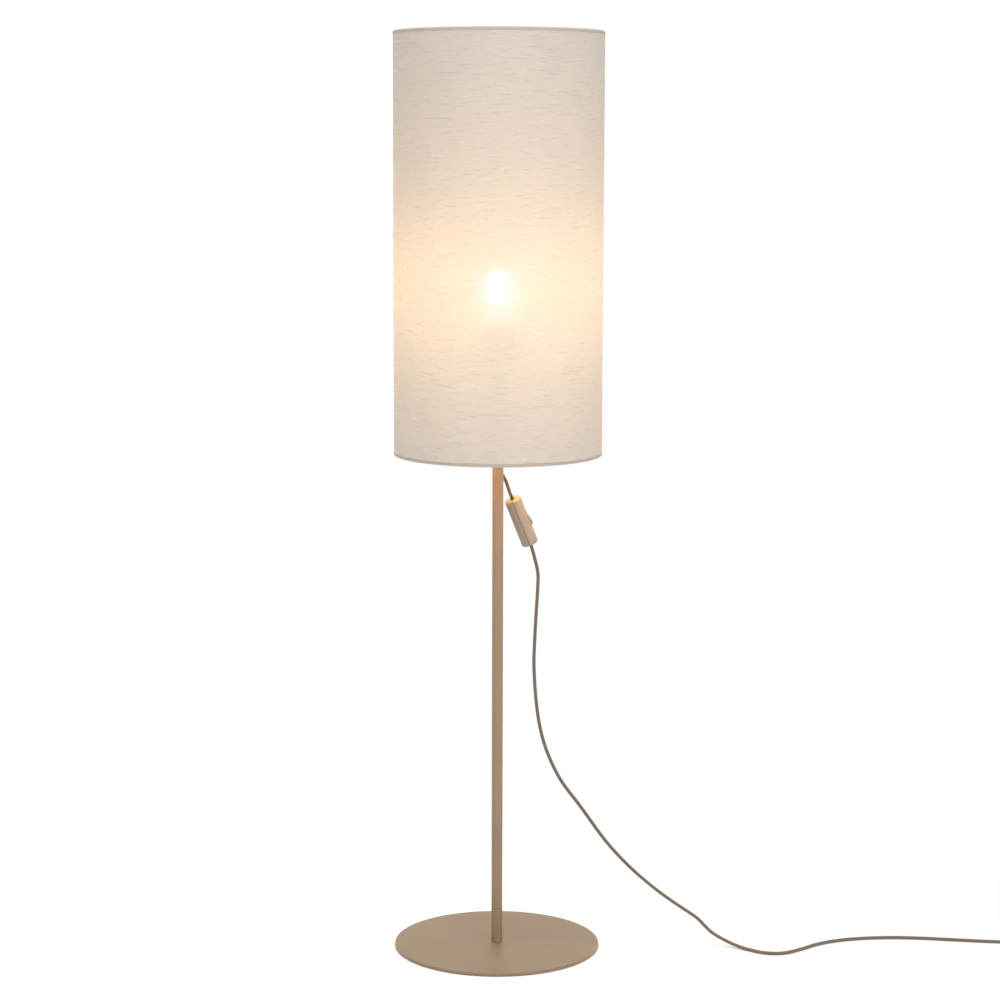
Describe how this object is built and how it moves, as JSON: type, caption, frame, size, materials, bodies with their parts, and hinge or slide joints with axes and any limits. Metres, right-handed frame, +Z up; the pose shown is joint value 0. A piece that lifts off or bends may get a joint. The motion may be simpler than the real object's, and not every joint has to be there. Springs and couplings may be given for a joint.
{
  "type": "floor lamp",
  "caption": "Column floor lamp: tall linen drum shade on a thin tube and round flat base, with a textile lead, inline rocker switch and plug.",
  "frame": {"origin": "centre of the base's underside, on the floor", "axes": "+Z up along the tube; seen from the front along +Y, +X is to the right, where the lead leaves"},
  "size_m": [1.002, 0.306, 1.3325],
  "materials": {
    "felt": "matt felt",
    "painted_steel": "fine-textured powder coat",
    "zinc_steel": "zinc plated",
    "bush_plastic": "satin",
    "textile_lead": "braided textile",
    "brass": "bright",
    "holder_plastic": "satin",
    "ceramic": "glazed",
    "wire_insulation": "satin",
    "wire_steel": "epoxy coated",
    "cap_metal": "bright nickel",
    "vitrite": "black glass",
    "bulb_glass": "frosted, lit",
    "stem_glass": "clear",
    "filament": "glowing phosphor",
    "liner": "satin film",
    "linen": "slubbed linen, lit from inside",
    "linen_hem": "slubbed linen, folded",
    "switch_plastic": "satin",
    "plunger_plastic": "satin",
    "tie_strap": "woven strap",
    "plug_rubber": "matt"
  },
  "bodies": {
    "lamp": {"base_pad": "felt", "base_plate": "painted_steel", "base_screw": "zinc_steel", "foot_insert": "zinc_steel", "pole": "painted_steel", "exit_bush": "bush_plastic", "inner_lead": "textile_lead", "top_insert": "zinc_steel", "nipple": "brass", "holder_cap": "holder_plastic", "holder_sleeve": "holder_plastic", "holder_core": "ceramic", "screw_shell": "brass", "centre_contact": "brass", "holder_terminals": "brass", "holder_screws": "zinc_steel", "holder_wires": "wire_insulation", "fitter_ring": "wire_steel", "fitter_arms": "wire_steel", "bottom_wire_ring": "wire_steel", "top_wire_ring": "wire_steel", "shade_liner": "liner", "shade_fabric": "linen", "shade_seam": "linen", "bottom_hem": "linen_hem", "top_hem": "linen_hem", "cord_upper": "textile_lead", "switch_cover": "switch_plastic", "switch_back": "switch_plastic", "switch_terminals": "brass", "cord_clamps": "zinc_steel", "clamp_screws": "zinc_steel", "switch_leads": "textile_lead", "switch_wires": "wire_insulation", "switch_screws": "zinc_steel", "cord_run": "textile_lead", "cord_coil": "textile_lead", "coil_tie": "tie_strap", "plug_boot": "plug_rubber", "plug_body": "plug_rubber", "plug_pins": "cap_metal"},
    "rocker": {"switch_rocker": "switch_plastic", "rocker_plunger": "plunger_plastic"},
    "bridge": {"contact_bridge": "brass"},
    "bulb": {"bulb_tip": "brass", "bulb_insulator": "vitrite", "bulb_cap": "cap_metal", "bulb_glass": "bulb_glass", "bulb_stem": "stem_glass", "bulb_filaments": "filament"},
    "ring": {"clamp_ring": "holder_plastic"}
  },
  "joints": [
    {"name": "rocker_tilt", "type": "hinge", "parent": "lamp", "child": "rocker", "pos_m": [0.04101, 0.03306, 0.63113], "axis": [0, 0.9816, 0.1908], "range_deg": [0, 25]},
    {"name": "bridge_tilt", "type": "hinge", "parent": "lamp", "child": "bridge", "pos_m": [0.03065, 0.03382, 0.62723], "axis": [0, 0.9816, 0.1908], "range_deg": [-16, 0]},
    {"name": "bulb_unscrew", "type": "slide", "parent": "lamp", "child": "bulb", "axis": [0, 0, 1], "range_m": [0, 0.025]},
    {"name": "ring_unscrew", "type": "slide", "parent": "lamp", "child": "ring", "axis": [0, 0, 1], "range_m": [0, 0.03]}
  ],
  "couplings": [
    {"joint": "bridge_tilt", "follows": "rocker_tilt", "ratio": -0.64}
  ]
}
